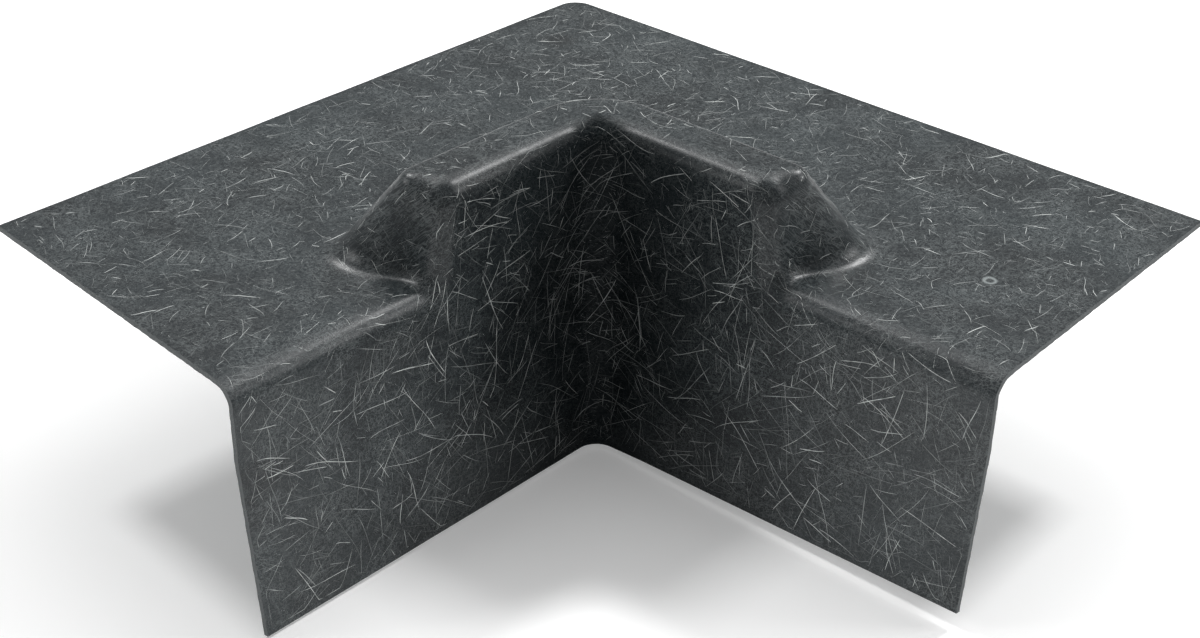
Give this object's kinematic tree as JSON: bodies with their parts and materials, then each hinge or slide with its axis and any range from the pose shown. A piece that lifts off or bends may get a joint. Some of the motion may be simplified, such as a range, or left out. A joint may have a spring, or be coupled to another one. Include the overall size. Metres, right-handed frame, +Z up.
{
  "type": "roof kerb inside corner",
  "caption": "Thin moulded laminate corner: an L-shaped flange with a hollow kerb around its notch and two walls that turn down to meet in a rounded inside corner.",
  "frame": {"origin": "middle of the square outline, on the surface that the lower edges of the two fascia walls stand on", "axes": "+Z up, square to the flange; one arm runs along +X and its wall faces -Y, the other runs along -Y and its wall faces +X, so the notch opens towards +X and -Y"},
  "size_m": [0.3, 0.3, 0.1242],
  "materials": {
    "surface_coat": "satin charcoal polyester skin with pale glass strands showing",
    "outer_deck_mat": "charcoal resin-bound chopped strand mat",
    "outer_fascia_mat": "charcoal resin-bound chopped strand mat",
    "inner_deck_mat": "rough charcoal resin-bound chopped strand mat",
    "inner_fascia_mat": "rough charcoal resin-bound chopped strand mat"
  },
  "bodies": {
    "root": {"surface_coat": "surface_coat", "outer_deck_mat": "outer_deck_mat", "outer_fascia_mat": "outer_fascia_mat", "inner_deck_mat": "inner_deck_mat", "inner_fascia_mat": "inner_fascia_mat"}
  },
  "joints": []
}
